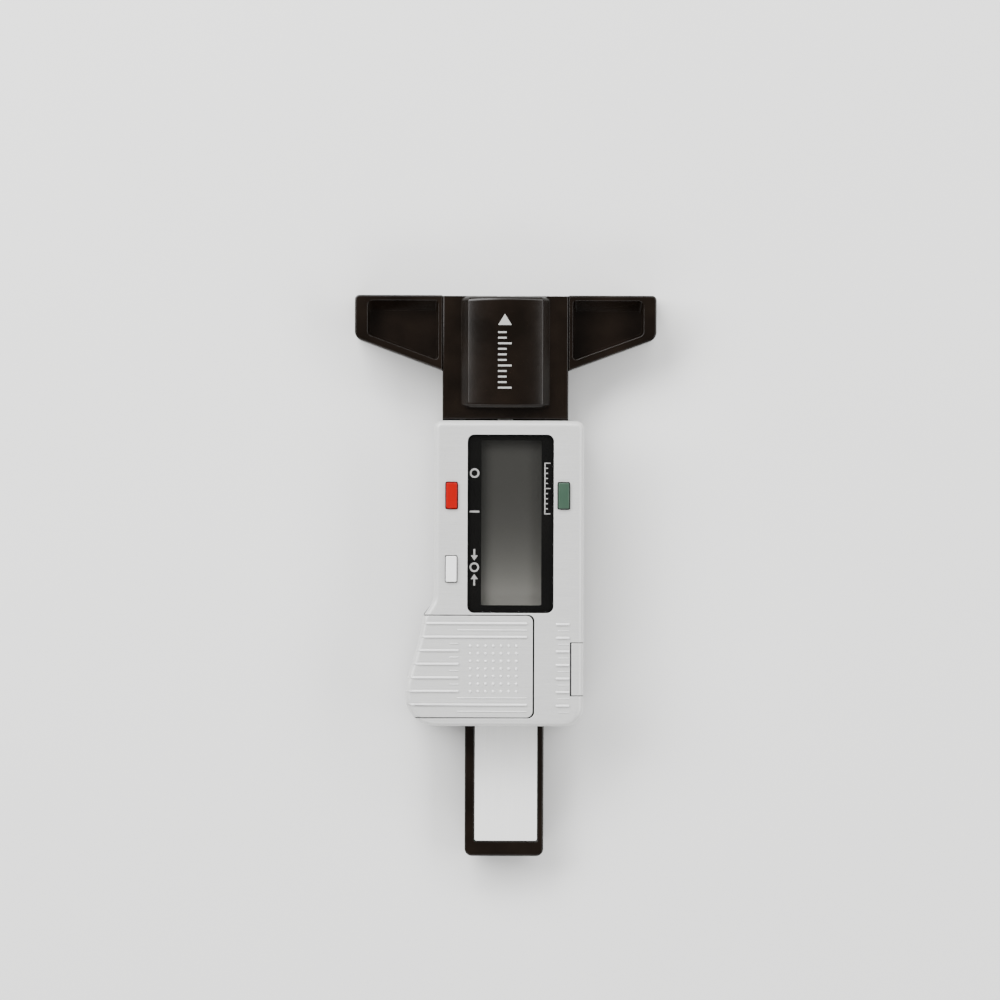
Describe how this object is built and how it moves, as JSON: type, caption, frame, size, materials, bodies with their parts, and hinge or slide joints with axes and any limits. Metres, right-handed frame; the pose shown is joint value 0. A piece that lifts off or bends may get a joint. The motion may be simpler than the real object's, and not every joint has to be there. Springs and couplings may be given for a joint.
{
  "type": "tire tread depth gauge",
  "caption": "Digital tyre tread depth gauge: black T-head and stem, silver display housing with push buttons, and a sliding beam that drives a steel blade out of the T-head.",
  "frame": {"origin": "middle of the gauge's bounding box, on the plane that its back lies on", "axes": "+Y along the beam towards the measuring face, +Z out of the display, +X to the right of somebody reading the display"},
  "size_m": [0.06, 0.1116, 0.0156],
  "materials": {
    "black_abs": "glossy moulded black plastic",
    "silver_abs": "satin silver painted plastic",
    "silver_label": "satin silver foil label",
    "stainless_steel": "brushed stainless steel",
    "zinc_plated_steel": "zinc plated",
    "green_circuit_board": "green solder mask",
    "display_glass": "grey liquid crystal panel",
    "clear_acrylic": "clear window with a black printed border",
    "connector_rubber": "striped rubber connector",
    "black_epoxy": "epoxy drop",
    "switch_plastic": "moulded switch and socket bodies",
    "red_abs": "red moulded plastic",
    "white_abs": "white moulded plastic",
    "green_abs": "green moulded plastic"
  },
  "bodies": {
    "body": {"frame": "black_abs", "stem_cover": "black_abs", "main_board": "green_circuit_board", "gib_spring": "stainless_steel", "button_cell": "stainless_steel", "negative_contact": "zinc_plated_steel", "positive_contact": "zinc_plated_steel", "crystal": "zinc_plated_steel", "housing_screw_1": "zinc_plated_steel", "housing_screw_2": "zinc_plated_steel", "housing_screw_3": "zinc_plated_steel", "housing_screw_4": "zinc_plated_steel", "stem_screw_1": "zinc_plated_steel", "stem_screw_2": "zinc_plated_steel", "stem_screw_3": "zinc_plated_steel", "stem_screw_4": "zinc_plated_steel", "board_screw_1": "zinc_plated_steel", "board_screw_2": "zinc_plated_steel", "board_screw_3": "zinc_plated_steel", "board_screw_4": "zinc_plated_steel", "housing": "silver_abs", "lcd_window": "clear_acrylic", "lcd_panel": "display_glass", "left_display_connector": "connector_rubber", "right_display_connector": "connector_rubber", "chip": "black_epoxy", "power_switch": "switch_plastic", "zero_switch": "switch_plastic", "unit_switch": "switch_plastic", "data_socket": "switch_plastic"},
    "beam": {"beam": "black_abs", "scale_board": "green_circuit_board", "scale_label": "silver_label", "probe": "stainless_steel", "probe_rivet_1": "zinc_plated_steel", "probe_rivet_2": "zinc_plated_steel", "stop_pin": "zinc_plated_steel"},
    "power_button": {"power_button": "red_abs"},
    "zero_button": {"zero_button": "white_abs"},
    "unit_button": {"unit_button": "green_abs"},
    "battery_lid": {"battery_lid": "silver_abs"},
    "port_cover": {"port_cover": "silver_abs"}
  },
  "joints": [
    {"name": "depth_slide", "type": "slide", "parent": "body", "child": "beam", "axis": [0, 1, 0], "range_m": [0, 0.0254]},
    {"name": "power_button_press", "type": "slide", "parent": "body", "child": "power_button", "axis": [0, 0, -1], "range_m": [0, 0.00045], "stiffness_N_per_m": 1500},
    {"name": "zero_button_press", "type": "slide", "parent": "body", "child": "zero_button", "axis": [0, 0, -1], "range_m": [0, 0.00045], "stiffness_N_per_m": 1500},
    {"name": "unit_button_press", "type": "slide", "parent": "body", "child": "unit_button", "axis": [0, 0, -1], "range_m": [0, 0.00045], "stiffness_N_per_m": 1500},
    {"name": "battery_lid_slide", "type": "slide", "parent": "body", "child": "battery_lid", "axis": [-1, 0, 0], "range_m": [0, 0.021]},
    {"name": "port_cover_slide", "type": "slide", "parent": "body", "child": "port_cover", "axis": [1, 0, 0], "range_m": [0, 0.004]}
  ]
}
